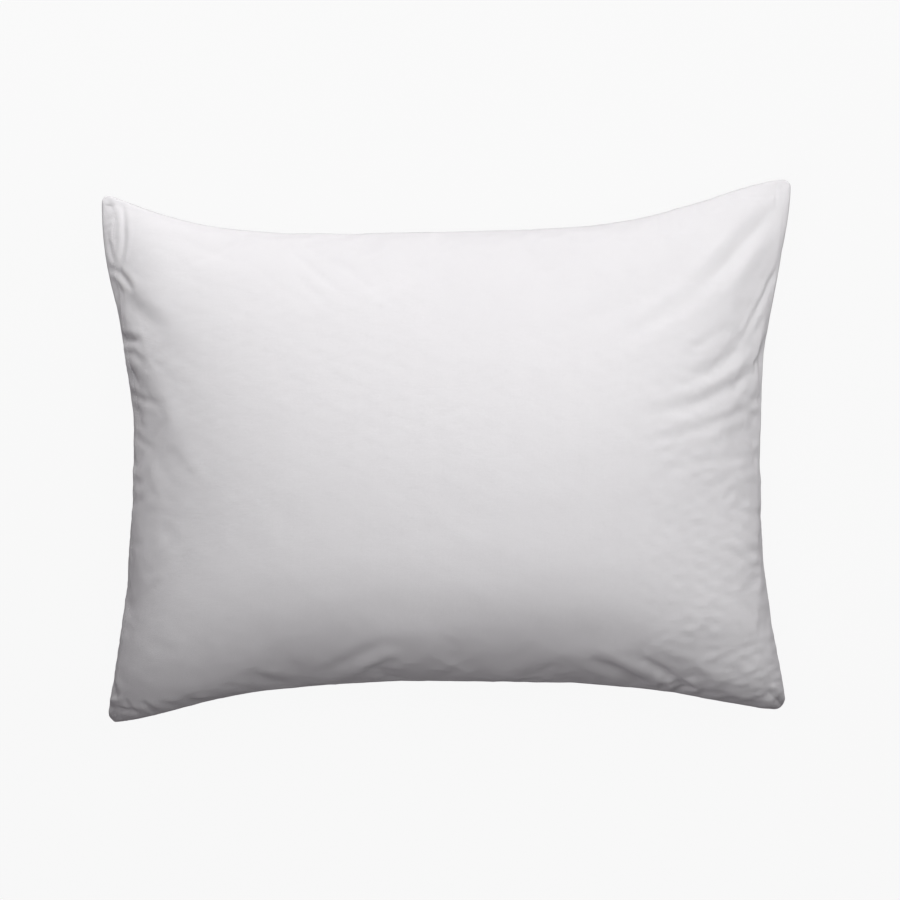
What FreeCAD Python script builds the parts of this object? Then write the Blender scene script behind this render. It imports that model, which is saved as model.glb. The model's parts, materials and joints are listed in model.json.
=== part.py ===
"""A bed pillow: a filled ticking inside a plain tuck-in pillowcase, lying on its back.

X runs along the pillow, with the pillowcase's mouth at -X and its closed end at +X. Y runs across it:
+Y is the head side, -Y the foot side. Z is up. The origin is the middle of the footprint, on the surface
that the pillow lies on. All cloth is built about the seam plane, the level at which the two panels of the
pillowcase are sewn together, and is then lifted to that level. Millimetres throughout.
"""

import copy
import math
import os

import FreeCAD
import Part
import Sketcher

DIMENSIONS = (
    # alias, value, what it is
    ("case_length", 660.0, "corner to corner along X"),
    ("case_width", 508.0, "corner to corner along Y"),
    ("loft", 165.0, "height of the crown over the bed"),
    ("seam_level", 72.0, "height of the seam plane over the bed"),
    ("belly", 86.0, "depth that the lower dome would have if nothing pressed it flat"),
    ("shoulder", 0.8, "0 for a round crown, 1 for a flat one with steep shoulders"),
    ("bow_end", 30.0, "how far each end is drawn in between its corners"),
    ("bow_head", 45.0, "the same for the head side"),
    ("bow_foot", 33.0, "the same for the foot side"),
    ("cloth", 0.4, "thickness of one layer of cloth"),
    ("layer_gap", 0.1, "gap between layers of the same body"),
    ("body_gap", 0.35, "gap between the ticking and the pillowcase under it"),
    ("seam_gap", 0.3, "distance from the rim to the first thing sewn inside it"),
    ("thread_width", 0.9, "width of a lockstitched row"),
    ("stitch_width", 0.6, "width of a row of topstitching"),
    ("stitch_height", 0.25, "how far topstitching stands out of the cloth"),
    ("allowance_width", 6.5, "width of a turned seam allowance"),
    ("overlock_width", 2.4, "width of the overlocked edge of an allowance"),
    ("corner_clearance", 9.0, "how far a sewn strip ends before the corner of the cloth"),
    ("hem_width", 20.0, "width of the turned hem at the mouth"),
    ("hem_stitch_inset", 18.0, "distance from the mouth to the hem's stitching"),
    ("flap_length", 160.0, "how far the tuck-in flap reaches inside the mouth"),
    ("flap_hem_width", 12.0, "width of the hem on the flap's free edge"),
    ("bartack_length", 12.0, "length of a bar-tack, along the mouth"),
    ("bartack_width", 2.4, "width of a bar-tack"),
    ("insert_corner_ease", 26.0, "how far the ticking's corners stay inside the case's"),
    ("insert_bow_ease", 12.0, "how much less the ticking's sides are drawn in"),
    ("insert_crown_ease", 1.3, "how much lower the ticking's domes are than the case's"),
    ("fill_ease", 12.0, "how far the filling stays inside the ticking's outline"),
    ("label_length", 36.0, "length of a label, along X"),
    ("label_width", 26.0, "width of a label, along Y"),
    ("label_offset", 150.0, "distance of the labels from the pillow's middle line"),
)

# Bernstein coefficients, at degree four, of 1, s, s squared and s to the fourth for s from -1 to 1
ONE = (1, 1, 1, 1, 1)
LINEAR = (-1, -1 / 2, 0, 1 / 2, 1)
SQUARE = (1, 0, -1 / 3, 0, 1)
FOURTH = (1, -1, 1, -1, 1)

UPPER = 1
LOWER = -1

# How far each side's strip is turned about Z from the head side, in degrees
SIDE_TURNS = {"head": 0, "foot": 180, "end": -90, "mouth": 90}

# A strip's sketch: its geometry in the order drawn, and Sketcher's numbers for points and axes
OUTER_ARC, INNER_ARC, START_LINE, END_LINE = range(4)
START, END, CENTRE = 1, 2, 3
ORIGIN = -1
VERTICAL_AXIS = -2


class Outline:
    """The drawn-in outline of a piece of cloth, seen from above: four corners and four bowed sides."""

    def __init__(self, dims, corner_ease=0.0, bow_ease=0.0):
        self.half_length = dims.case_length / 2 - corner_ease
        self.half_width = dims.case_width / 2 - corner_ease
        self.bow_end = dims.bow_end - bow_ease
        self.bow_head = dims.bow_head - bow_ease
        self.bow_foot = dims.bow_foot - bow_ease

    def inside(self, distance):
        """The same outline, moved in by distance all round."""
        smaller = copy.copy(self)
        smaller.half_length -= distance
        smaller.half_width -= distance
        return smaller

    def share_x(self, distance):
        """The share of the way from the middle to an end of a line that runs distance inside that end."""
        return 1 - distance / (self.half_length - self.bow_end)

    def share_y(self, distance):
        """The share of the way from the middle to a side of a line that stays over distance inside it."""
        return 1 - distance / (self.half_width - max(self.bow_head, self.bow_foot))


def make_sheet(doc):
    """The spreadsheet of driving dimensions, one row each: alias, value, meaning."""
    sheet = doc.addObject("Spreadsheet::Sheet", "dims")
    for row, (alias, value, meaning) in enumerate(DIMENSIONS, start=1):
        sheet.set(f"A{row}", alias)
        sheet.set(f"B{row}", str(value))
        sheet.setAlias(f"B{row}", alias)
        sheet.set(f"C{row}", meaning)
    doc.recompute()
    return sheet


def outer_rim(dims):
    """Height of the outside of the case over the seam plane, at its rim: half of the turned layers."""
    return 3 * dims.cloth


def lining_rim(dims):
    """Height of the inside of the case over the seam plane, at its rim."""
    return outer_rim(dims) - dims.cloth


def ticking_rim(dims):
    """Height of the outside of the ticking over the seam plane, at its rim."""
    return 2 * dims.cloth + dims.layer_gap


def case_crown(dims, side):
    """How far the case swells off its rim, up or down."""
    return dims.loft - dims.seam_level - outer_rim(dims) if side == UPPER else dims.belly


def ticking_crown(dims, side):
    """How far the ticking swells off its rim, up or down."""
    return case_crown(dims, side) - dims.insert_crown_ease


def dome_surface(dims, outline, rim, crown, side):
    """A Bezier surface that stands rim off the seam plane at the outline and rim + crown in the middle."""
    mean_bow = (outline.bow_head + outline.bow_foot) / 2
    bow_skew = (outline.bow_head - outline.bow_foot) / 2
    end_reach = outline.half_length - outline.bow_end
    swell = [1 - (1 - dims.shoulder) * s2 - dims.shoulder * s4 for s2, s4 in zip(SQUARE, FOURTH)]
    degree = len(ONE) - 1
    surface = Part.BezierSurface()
    surface.increase(degree, degree)
    for i in range(degree + 1):
        for j in range(degree + 1):
            drawn_in = mean_bow * LINEAR[j] + bow_skew * SQUARE[j]
            x = LINEAR[i] * (end_reach + outline.bow_end * SQUARE[j])
            y = outline.half_width * LINEAR[j] - (1 - SQUARE[i]) * drawn_in
            z = side * (rim + crown * swell[i] * swell[j])
            surface.setPole(i + 1, j + 1, FreeCAD.Vector(x, y, z))
    return surface


def solid_between(first, second):
    """The closed solid between two surfaces that run over the same stretch of cloth."""
    edges = (
        (first.uIso(0), second.uIso(0)),
        (first.uIso(1), second.uIso(1)),
        (first.vIso(0), second.vIso(0)),
        (first.vIso(1), second.vIso(1)),
    )
    faces = [Part.makeRuledSurface(one.toShape(), other.toShape()) for one, other in edges]
    faces += [first.toShape(), second.toShape()]
    shell = Part.makeShell(faces)
    shell.sewShape()
    solid = Part.makeSolid(shell)
    if solid.Volume < 0:
        solid.reverse()
    return solid


def add_cloth(doc, label, solid):
    """A domed piece, which no primitive or sketched feature makes, lifted to the seam plane."""
    piece = doc.addObject("Part::Feature", label)
    piece.Label = label
    piece.Shape = solid
    piece.Placement = FreeCAD.Placement()
    piece.setExpression("Placement.Base.z", "dims.seam_level")
    return piece


def add_layer(doc, dims, label, outline, levels, crown, side, shares_x, shares_y):
    """A domed layer between two levels off the seam plane, over a stretch given in shares from -1 to 1."""
    surfaces = []
    for level in levels:
        surface = dome_surface(dims, outline, level, crown, side)
        surface.segment(*[(share + 1) / 2 for share in (*shares_x, *shares_y)])
        surfaces.append(surface)
    return add_cloth(doc, label, solid_between(*surfaces))


def add_dome(doc, dims, label, outline, rim, crown, side, base):
    """A solid dome that fills the space from a flat base, near the seam plane, out to its surface."""
    flat_base = dome_surface(dims, outline, base, 0.0, side)
    return add_cloth(doc, label, solid_between(flat_base, dome_surface(dims, outline, rim, crown, side)))


def add_room(doc, label, floor_level):
    """The room over a level: a box wider and taller than the pillow."""
    room = doc.addObject("Part::Box", label)
    room.setExpression("Length", "2 * dims.case_length")
    room.setExpression("Width", "2 * dims.case_width")
    room.setExpression("Height", "2 * dims.loft")
    room.setExpression("Placement.Base.x", "-dims.case_length")
    room.setExpression("Placement.Base.y", "-dims.case_width")
    room.setExpression("Placement.Base.z", floor_level)
    return room


def add_boolean(doc, kind, label, base, tool):
    """A Part::Common or Part::Cut of two objects."""
    result = doc.addObject(kind, label)
    result.Label = label
    result.Base = base
    result.Tool = tool
    return result


def add_shell(doc, dims, label, outline, rim, crown, side):
    """Half of a cloth shell, one layer thick: its solid dome and the hollow to be taken out of that."""
    outside = add_dome(doc, dims, label + "_outside", outline, rim, crown, side, rim - dims.cloth)
    lining = outline.inside(dims.cloth)
    hollow = add_dome(doc, dims, label + "_hollow", lining, rim - dims.cloth, crown, side, 0.0)
    return outside, hollow


def add_upper_shell(doc, dims, label, outline, rim, crown):
    """The upper half of a cloth shell."""
    outside, hollow = add_shell(doc, dims, label, outline, rim, crown, UPPER)
    return add_boolean(doc, "Part::Cut", label, outside, hollow)


def add_lower_shell(doc, dims, label, outline, rim, crown, floor_level):
    """The lower half of a cloth shell, pressed flat where it lies on floor_level."""
    outside, hollow = add_shell(doc, dims, label, outline, rim, crown, LOWER)
    over_floor = add_room(doc, label + "_over_floor", floor_level)
    over_cloth = add_room(doc, label + "_over_cloth", floor_level + " + dims.cloth")
    pressed = add_boolean(doc, "Part::Common", label + "_pressed", outside, over_floor)
    pressed_hollow = add_boolean(doc, "Part::Common", label + "_pressed_hollow", hollow, over_cloth)
    return add_boolean(doc, "Part::Cut", label, pressed, pressed_hollow)


class Side:
    """One bowed side of an outline, as expressions: distance out, half of its length, bow, and its turn."""

    def __init__(self, name, corner_ease="0", bow_ease="0"):
        across = name in ("head", "foot")
        out, along = ("case_width", "case_length") if across else ("case_length", "case_width")
        bow = name if across else "end"
        self.reach = f"(dims.{out} / 2 - {corner_ease})"
        self.half = f"(dims.{along} / 2 - {corner_ease})"
        self.bow = f"(dims.bow_{bow} - {bow_ease})"
        self.turn = SIDE_TURNS[name]

    def radius(self):
        """Radius of the arc through the side's two corners and its drawn-in middle."""
        return f"(({self.half} ^ 2 + {self.bow} ^ 2) / (2 * {self.bow}))"


def add_strip(doc, label, side, inset, width, stop, thickness):
    """A flat strip sewn along a side, between two arcs of one centre, padded evenly about the seam plane.

    inset, width, stop and thickness are expressions: how far inside the side the strip starts, how wide
    it is, how far before the corners it ends, and how thick it is.
    """
    body = doc.addObject("PartDesign::Body", label)
    body.Label = label
    sketch = body.newObject("Sketcher::SketchObject", label + "_sketch")
    plane = next(item for item in body.Origin.OriginFeatures if item.Role == "XY_Plane")
    sketch.AttachmentSupport = (plane, [""])
    sketch.MapMode = "FlatFace"
    draw_strip(sketch, side, inset, width, stop)
    pad = body.newObject("PartDesign::Pad", label + "_pad")
    pad.Profile = sketch
    pad.SideType = "Symmetric"
    pad.setExpression("Length", thickness)
    turn = FreeCAD.Rotation(FreeCAD.Vector(0, 0, 1), side.turn)
    body.Placement = FreeCAD.Placement(FreeCAD.Vector(), turn)
    body.setExpression("Placement.Base.z", "dims.seam_level")
    return body


def draw_strip(sketch, side, inset, width, stop):
    """The outline of a strip: outer arc, inner arc and two straight ends, constrained to the dimensions.

    It is first drawn about the right size, and the constraints then pull it to its own size.
    """
    start_radius = 1000.0
    centre = FreeCAD.Vector(0, start_radius + 200.0, 0)
    spread = 0.2
    for radius in (start_radius, start_radius + 5.0):
        circle = Part.Circle(centre, FreeCAD.Vector(0, 0, 1), radius)
        sketch.addGeometry(Part.ArcOfCircle(circle, -math.pi / 2 - spread, -math.pi / 2 + spread))
    for end in (START, END):
        points = [sketch.getPoint(arc, end) for arc in (OUTER_ARC, INNER_ARC)]
        sketch.addGeometry(Part.LineSegment(*points))
    rules = [
        Sketcher.Constraint("Coincident", OUTER_ARC, CENTRE, INNER_ARC, CENTRE),
        Sketcher.Constraint("PointOnObject", OUTER_ARC, CENTRE, VERTICAL_AXIS),
    ]
    for arc in (OUTER_ARC, INNER_ARC):
        rules.append(Sketcher.Constraint("Symmetric", arc, START, arc, END, VERTICAL_AXIS))
    for line, end in ((START_LINE, START), (END_LINE, END)):
        rules.append(Sketcher.Constraint("Coincident", line, START, OUTER_ARC, end))
        rules.append(Sketcher.Constraint("Coincident", line, END, INNER_ARC, end))
    sketch.addConstraint(rules)
    radius = side.radius()
    centre_height = f"{side.reach} - {side.bow} + {radius}"
    half_length = f"{side.half} - {stop}"
    sizes = (
        ("centre", "DistanceY", (ORIGIN, START, OUTER_ARC, CENTRE), centre_height),
        ("outer_radius", "Radius", (OUTER_ARC,), f"{radius} + {inset}"),
        ("inner_radius", "Radius", (INNER_ARC,), f"{radius} + {inset} + {width}"),
        ("outer_stop", "DistanceX", (ORIGIN, START, OUTER_ARC, END), half_length),
        ("inner_stop", "DistanceX", (ORIGIN, START, INNER_ARC, END), half_length),
    )
    drawn = {"Radius": start_radius, "DistanceY": centre.y, "DistanceX": start_radius * spread}
    for name, kind, where, expression in sizes:
        index = sketch.addConstraint(Sketcher.Constraint(kind, *where, drawn[kind]))
        sketch.renameConstraint(index, name)
        sketch.setExpression(f"Constraints.{name}", expression)


def make_case_panels(doc, dims, case):
    """The front and back panels of the pillowcase. The back one is pressed flat on the bed."""
    rim = outer_rim(dims)
    front = add_upper_shell(doc, dims, "case_front_panel", case, rim, case_crown(dims, UPPER))
    back = add_lower_shell(doc, dims, "case_back_panel", case, rim, case_crown(dims, LOWER), "0")
    return [front, back]


def make_mouth(doc, dims, case):
    """The hems at the mouth, the flap that tucks over the ticking inside them, and their stitching."""
    lining = case.inside(dims.cloth)
    sewn_width = dims.seam_gap + dims.thread_width + dims.allowance_width + dims.overlock_width
    side_share = lining.share_y(sewn_width + 3 * dims.layer_gap)
    whole_mouth = (-side_share, side_share)
    hem = (lining_rim(dims) - dims.layer_gap - dims.cloth, lining_rim(dims) - dims.layer_gap)
    hem_shares = (-lining.share_x(dims.cloth), -lining.share_x(dims.hem_width))
    flap_shares = (-lining.share_x(dims.cloth), -lining.share_x(dims.flap_length))
    flap_hem_shares = (-lining.share_x(dims.flap_length - dims.flap_hem_width), flap_shares[1])
    on_cloth = outer_rim(dims) + dims.layer_gap / 2
    on_case = (on_cloth, on_cloth + dims.stitch_height)
    stitch_shares = [
        -case.share_x(inset)
        for inset in (dims.hem_stitch_inset, dims.hem_stitch_inset + dims.stitch_width)
    ]
    flap = (-dims.cloth / 2, dims.cloth / 2)
    under_flap = flap[0] - dims.layer_gap / 2
    on_flap = (under_flap - dims.stitch_height, under_flap)
    flap_stitch_end = dims.flap_length - dims.flap_hem_width
    flap_stitch_shares = [
        -lining.share_x(inset) for inset in (flap_stitch_end, flap_stitch_end + dims.stitch_width)
    ]
    layers = (
        ("case_front_hem", lining, hem, UPPER, hem_shares),
        ("case_back_hem", lining, hem, LOWER, hem_shares),
        ("case_flap", lining, flap, UPPER, flap_shares),
        ("case_flap_hem", lining, hem, UPPER, flap_hem_shares),
        ("case_front_hem_stitch", case, on_case, UPPER, stitch_shares),
        ("case_back_hem_stitch", case, on_case, LOWER, stitch_shares),
        ("case_flap_hem_stitch", lining, on_flap, UPPER, flap_stitch_shares),
    )
    return [
        add_layer(doc, dims, label, outline, levels, case_crown(dims, side), side, shares_x, whole_mouth)
        for label, outline, levels, side, shares_x in layers
    ]


def make_bartacks(doc, dims, case):
    """The two short bars of dense stitching that close the ends of the mouth, next to the side seams."""
    on_cloth = outer_rim(dims) + dims.layer_gap / 2
    levels = (on_cloth, on_cloth + dims.stitch_height)
    start = dims.bartack_width
    shares_x = [-case.share_x(inset) for inset in (start, start + dims.bartack_length)]
    outer_share = 1 - start / case.half_width
    inner_share = 1 - (start + dims.bartack_width) / case.half_width
    places = (
        ("case_bartack_head", (inner_share, outer_share)),
        ("case_bartack_foot", (-outer_share, -inner_share)),
    )
    return [
        add_layer(doc, dims, label, case, levels, case_crown(dims, UPPER), UPPER, shares_x, shares_y)
        for label, shares_y in places
    ]


def make_case_seams(doc):
    """Inside each closed side: the lockstitch, then the turned allowance, then its overlocked edge."""
    sewn = "dims.seam_gap + dims.thread_width"
    allowance = f"{sewn} + dims.allowance_width"
    thickness = "4 * dims.cloth - 2 * dims.layer_gap"
    rows = (
        ("case_thread", "dims.seam_gap", "dims.thread_width", thickness),
        ("case_seam", sewn, "dims.allowance_width", thickness),
        ("case_overlock", allowance, "dims.overlock_width", thickness),
    )
    past_side_strips = f"(dims.corner_clearance + {allowance} + dims.overlock_width)"
    stops = {"head": "dims.corner_clearance", "foot": "dims.corner_clearance", "end": past_side_strips}
    return [
        add_strip(doc, f"{name}_{place}", Side(place), f"({inset})", width, stop, depth)
        for name, inset, width, depth in rows
        for place, stop in stops.items()
    ]


def make_ticking(doc, dims, ticking):
    """The ticking's two halves, its seam allowances, and the fold and stitching that close it."""
    rim = ticking_rim(dims)
    upper = add_upper_shell(doc, dims, "ticking_upper", ticking, rim, ticking_crown(dims, UPPER))
    lower = add_lower_shell(
        doc, dims, "ticking_lower", ticking, rim, ticking_crown(dims, LOWER), "dims.cloth + dims.body_gap"
    )
    sides = {
        "ticking_seam_head": ("head", "dims.corner_clearance"),
        "ticking_seam_foot": ("foot", "dims.corner_clearance"),
        "ticking_seam_end": ("end", "2 * dims.corner_clearance"),
        "ticking_closing_fold": ("mouth", "2 * dims.corner_clearance"),
    }
    strips = [
        add_strip(
            doc,
            label,
            Side(place, "dims.insert_corner_ease", "dims.insert_bow_ease"),
            "dims.seam_gap",
            "dims.allowance_width",
            stop,
            "2 * dims.cloth",
        )
        for label, (place, stop) in sides.items()
    ]
    on_cloth = rim + dims.layer_gap / 2
    stitch_start = dims.allowance_width / 2
    closing = add_layer(
        doc,
        dims,
        "ticking_closing_stitch",
        ticking,
        (on_cloth, on_cloth + dims.stitch_height),
        ticking_crown(dims, UPPER),
        UPPER,
        [-ticking.share_x(inset) for inset in (stitch_start, stitch_start + dims.stitch_width)],
        (-ticking.share_y(dims.corner_clearance), ticking.share_y(dims.corner_clearance)),
    )
    return [upper, lower, *strips, closing]


def make_labels(doc, dims, case, ticking):
    """Two blank labels at the closed end: one inside the case, one on the outside of the ticking."""
    lining = case.inside(dims.cloth)
    sewn_width = dims.seam_gap + dims.thread_width + dims.allowance_width + dims.overlock_width
    in_case = lining_rim(dims) - dims.layer_gap - dims.cloth
    on_ticking = ticking_rim(dims) + dims.layer_gap
    places = (
        ("case_label", lining, in_case, case_crown(dims, LOWER), sewn_width, -1),
        ("ticking_label", ticking, on_ticking, ticking_crown(dims, LOWER), 0.0, 1),
    )
    labels = []
    for label, outline, level, crown, sewn_at, hand in places:
        start = sewn_at + dims.cloth
        shares_x = [outline.share_x(inset) for inset in (start + dims.label_length, start)]
        edges = [hand * dims.label_offset + half * dims.label_width / 2 for half in (-1, 1)]
        shares_y = [edge / outline.half_width for edge in edges]
        levels = (level, level + dims.cloth)
        labels.append(add_layer(doc, dims, label, outline, levels, crown, LOWER, shares_x, shares_y))
    return labels


def make_fill(doc, dims, ticking):
    """The filling: one soft mass inside the ticking, pressed flat where it lies."""
    outline = ticking.inside(dims.fill_ease)
    rim = ticking_rim(dims) - dims.cloth - 2 * dims.layer_gap
    lower = dome_surface(dims, outline, rim, ticking_crown(dims, LOWER), LOWER)
    upper = dome_surface(dims, outline, rim, ticking_crown(dims, UPPER), UPPER)
    mass = add_cloth(doc, "fill_mass", solid_between(lower, upper))
    room = add_room(doc, "fill_over_ticking", "2 * dims.cloth + dims.body_gap + dims.layer_gap")
    return [add_boolean(doc, "Part::Common", "fill", mass, room)]


def check(doc, pieces):
    """Stops if any object failed to build or any piece isn't a valid solid."""
    failed = [item.Label for item in doc.Objects if {"Invalid", "Error"} & set(item.State)]
    if failed:
        raise RuntimeError(f"these objects failed to build: {failed}")
    for piece in pieces:
        shape = piece.Shape
        if shape.isNull() or not shape.isValid() or not shape.Solids or shape.Volume <= 0:
            raise RuntimeError(f"{piece.Label} isn't a valid solid")


def main():
    doc = FreeCAD.newDocument("bed_pillow")
    dims = make_sheet(doc)
    case = Outline(dims)
    ticking = Outline(dims, dims.insert_corner_ease, dims.insert_bow_ease)
    pieces = make_case_panels(doc, dims, case)
    pieces += make_mouth(doc, dims, case)
    pieces += make_bartacks(doc, dims, case)
    pieces += make_case_seams(doc)
    pieces += make_ticking(doc, dims, ticking)
    pieces += make_labels(doc, dims, case, ticking)
    pieces += make_fill(doc, dims, ticking)
    doc.recompute()
    check(doc, pieces)
    os.makedirs("parts", exist_ok=True)
    for piece in pieces:
        piece.Shape.exportStep(f"parts/{piece.Label}.step")
        print(f"{piece.Label}: {piece.Shape.Volume / 1000:.2f} cm3")


main()
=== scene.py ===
import json
import math

import bpy
import numpy as np
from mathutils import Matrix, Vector

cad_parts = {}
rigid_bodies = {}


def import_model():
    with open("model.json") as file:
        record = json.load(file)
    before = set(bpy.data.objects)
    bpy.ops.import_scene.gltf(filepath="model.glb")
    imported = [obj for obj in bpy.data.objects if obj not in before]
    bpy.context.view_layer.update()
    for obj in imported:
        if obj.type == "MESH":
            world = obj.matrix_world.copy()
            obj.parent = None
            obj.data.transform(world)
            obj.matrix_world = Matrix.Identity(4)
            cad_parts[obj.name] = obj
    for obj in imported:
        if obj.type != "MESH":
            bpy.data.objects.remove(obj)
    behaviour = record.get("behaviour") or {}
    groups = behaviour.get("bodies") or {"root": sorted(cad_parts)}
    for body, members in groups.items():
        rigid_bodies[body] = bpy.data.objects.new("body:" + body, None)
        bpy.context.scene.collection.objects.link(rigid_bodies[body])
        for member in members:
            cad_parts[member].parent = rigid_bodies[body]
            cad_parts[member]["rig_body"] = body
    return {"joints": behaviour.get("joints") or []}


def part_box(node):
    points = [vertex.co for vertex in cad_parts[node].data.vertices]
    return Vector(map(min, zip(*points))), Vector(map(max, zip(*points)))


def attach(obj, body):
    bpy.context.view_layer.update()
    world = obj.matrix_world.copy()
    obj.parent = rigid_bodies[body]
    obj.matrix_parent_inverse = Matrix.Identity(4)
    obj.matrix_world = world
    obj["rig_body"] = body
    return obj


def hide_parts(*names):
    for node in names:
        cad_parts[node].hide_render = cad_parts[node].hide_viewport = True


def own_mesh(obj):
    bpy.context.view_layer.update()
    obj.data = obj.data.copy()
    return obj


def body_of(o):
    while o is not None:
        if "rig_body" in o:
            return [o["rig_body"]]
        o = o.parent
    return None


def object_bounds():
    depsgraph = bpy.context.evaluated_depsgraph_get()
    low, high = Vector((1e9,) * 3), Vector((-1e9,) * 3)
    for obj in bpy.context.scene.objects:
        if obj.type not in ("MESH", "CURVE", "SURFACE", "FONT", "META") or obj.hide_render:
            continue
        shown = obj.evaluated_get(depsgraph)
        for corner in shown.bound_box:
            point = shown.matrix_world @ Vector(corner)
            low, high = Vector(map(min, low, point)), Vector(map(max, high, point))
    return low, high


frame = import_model()
cad_low, cad_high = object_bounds()

# === Sizes, in metres. X runs along the pillow from its mouth, at -X, and Y to its head side ===

SEAM_LEVEL = sum(corner.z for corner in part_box("case_seam_head")) / 2
CROWN = cad_high.z - SEAM_LEVEL
BELLY = 0.086
CLOTH = 0.0004
FLAT = (0.67, 0.52)

# Where each ear's tip lies from the frame's corner: (in X, in Y)
EARS = {
    ("mouth", "head"): (-0.002, -0.006),
    ("mouth", "foot"): (0.0015, -0.008),
    ("end", "head"): (0.001, 0.009),
    ("end", "foot"): (-0.001, 0.004),
}
EAR_RADIUS = 0.0085
END_FOOT_RADIUS = 0.013
# The seam's rim sinks by these below its level: at every ear, along the foot side, and at its ears
EAR_DROOP = 0.006
FOOT_DROP = 0.010
FOOT_EAR_DROOP = 0.016

# How far each side is drawn in, then how it sets out from its corner at -1 and at +1: (reach, power)
BOWS = {
    "mouth": (0.0306, (0.40, 1.35), (0.54, 2.5)),
    "end": (0.0313, (0.40, 1.4), (0.51, 1.8)),
    "foot": (0.0357, (0.34, 1.7), (0.39, 1.5)),
    "head": (0.0445, (0.25, 1.3), (0.34, 1.8)),
}

# The dome from its highest point towards each side: (power, fullness)
SLOPES = {"mouth": (4.3, 0.58), "end": (3.6, 0.75), "foot": (3.4, 0.8), "head": (2.0, 0.7)}
CROWN_AT = (0.05, -0.2)
FULL_CORNER = 0.5

# How the finished mesh's lines crowd together over the flat cloth: (place, reach, times closer)
LINES = (238, 204)
CLOSER_X = ((-1.0, 0.12, 2.2), (0.8, 0.32, 1.5), (1.0, 0.08, 1.5))
CLOSER_Y = ((-1.0, 0.16, 2.0), (1.0, 0.12, 1.5), (0.45, 0.4, 0.5))

# Sewing, as in the frame: the closed sides, widths in from the edge, the flap's share of the mouth,
# each bar-tack's start, stop and distance from the side, and the thread
SEWN = ("head", "foot", "end")
HEM = 0.020
HEM_STITCHES = 0.018
FLAP = 0.160
FLAP_HEM = 0.012
FLAP_SHARE = 0.915
ALLOWANCE = 0.0065
OVERLOCK = 0.0024
BARTACK = (0.004, 0.014, 0.0085)
THREAD = 0.00024
STITCH_PITCH = 0.003

# The ticking is cut smaller than the pillowcase, most of all at its corners
TICKING_FLAT = (0.635, 0.485)
TICKING_LINES = (170, 140)
LIP = 0.0014

# Label tape, folded double: (folded length, width)
TAPE = (0.034, 0.026)

# Creases in the front, and fainter in the back: a curve through three places (X and Y in mm), then
# depth and width in mm. A negative depth is a ridge.
CREASES = (
    (313, 236, 280, 196, 236, 152, 2.6, 8.0),
    (250, 166, 207, 132, 160, 112, 1.3, 8.0),
    (321, 186, 302, 148, 279, 104, 1.7, 2.4),
    (281, 112, 261, 84, 226, 72, 1.5, 5.5),
    (309, 132, 274, 76, 190, 46, -1.0, 6.0),
    (311, 114, 270, 62, 178, 36, 1.7, 6.0),
    (299, 50, 243, 24, 181, 9, 1.1, 4.6),
    (168, 205, 144, 178, 119, 145, 1.3, 9.0),
    (240, 172, 185, 144, 112, 117, 0.9, 8.0),
    (268, 124, 247, 107, 222, 90, 0.9, 5.0),
    (259, 238, 247, 225, 232, 208, 0.6, 6.0),
    (297, 214, 281, 172, 262, 142, -0.9, 7.0),
    (219, 7, 205, 1, 190, -1, 0.5, 4.0),
    (290, -10, 262, -6, 203, -17, 0.7, 4.0),
    (292, -14, 267, -24, 250, -40, 0.7, 4.0),
    (-325, 240, -313, 166, -302, 92, 3.0, 20.0),
    (-316, 250, -309, 211, -315, 176, 1.7, 2.4),
    (-328, 216, -324, 193, -318, 176, 1.0, 2.4),
    (-330, 178, -313, 169, -299, 153, 1.8, 3.0),
    (231, 244, 280, 244, 330, 248, 0.5, 1.3),
    (317, 264, 317, 250, 316, 236, 0.5, 1.3),
    (-322, 168, -299, 139, -262, 112, 2.0, 8.0),
    (-320, 111, -304, 107, -288, 105, 2.3, 3.8),
    (-308, 97, -296, 93, -284, 82, 1.2, 3.2),
    (-299, 88, -284, 62, -266, 30, -0.9, 5.0),
    (-308, 61, -293, 51, -267, 45, 1.3, 3.4),
    (-303, 22, -291, 10, -274, 0, 0.8, 3.0),
    (-119, -212, -91, -196, -56, -177, 1.8, 6.0),
    (-92, -212, -69, -197, -44, -185, -1.3, 5.0),
    (-112, -160, -45, -168, 14, -160, -0.7, 12.0),
    (82, -184, 130, -190, 180, -186, -1.0, 10.0),
    (212, -184, 258, -189, 306, -190, 1.6, 17.0),
    (134, -194, 164, -209, 200, -232, 2.6, 5.0),
    (148, -191, 181, -205, 208, -224, -0.6, 5.5),
    (182, -194, 211, -213, 240, -238, 2.4, 3.8),
    (194, -207, 208, -220, 226, -235, -0.4, 4.0),
    (240, -200, 256, -204, 272, -203, 0.6, 5.0),
    (262, -232, 283, -241, 304, -239, 1.5, 3.2),
    (299, -248, 311, -239, 319, -226, -1.2, 4.0),
    (-325, -213, -318, -224, -317, -236, 1.8, 3.0),
    (-328, -239, -317, -237, -306, -235, -1.3, 2.6),
    (-325, -243, -309, -247, -293, -248, 2.0, 2.4),
    (-307, -234, -302, -243, -293, -252, 1.1, 2.2),
    (-330, -247, -323, -252, -314, -257, -1.6, 3.0),
    (-291, -236, -282, -245, -275, -254, 1.6, 2.4),
    (-272, -236, -262, -242, -249, -246, 1.2, 3.0),
    (-250, -232, -238, -239, -221, -243, 1.3, 3.4),
)
# Small puckers along each side: (how many, from, to, average depth and length in mm)
PUCKERS = {
    "mouth": (8, -190, 80, 0.4, 18),
    "end": (18, -190, 60, 0.4, 26),
    "foot": (18, -250, 260, 0.4, 20),
    "head": (10, -230, 250, 0.2, 16),
}
BACK_CREASES = 0.6
# The rim's curl down: (depth, reach)
ROLLED = {"mouth": (0.0015, 0.0032), "end": (0.0007, 0.0025), "foot": (0.0011, 0.0032)}
# How much of the simulated wrinkles each layer keeps, and how much of those that both share, at the rim
OWN_WRINKLES = 0.4
SHARED_WRINKLES = 0.16


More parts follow.
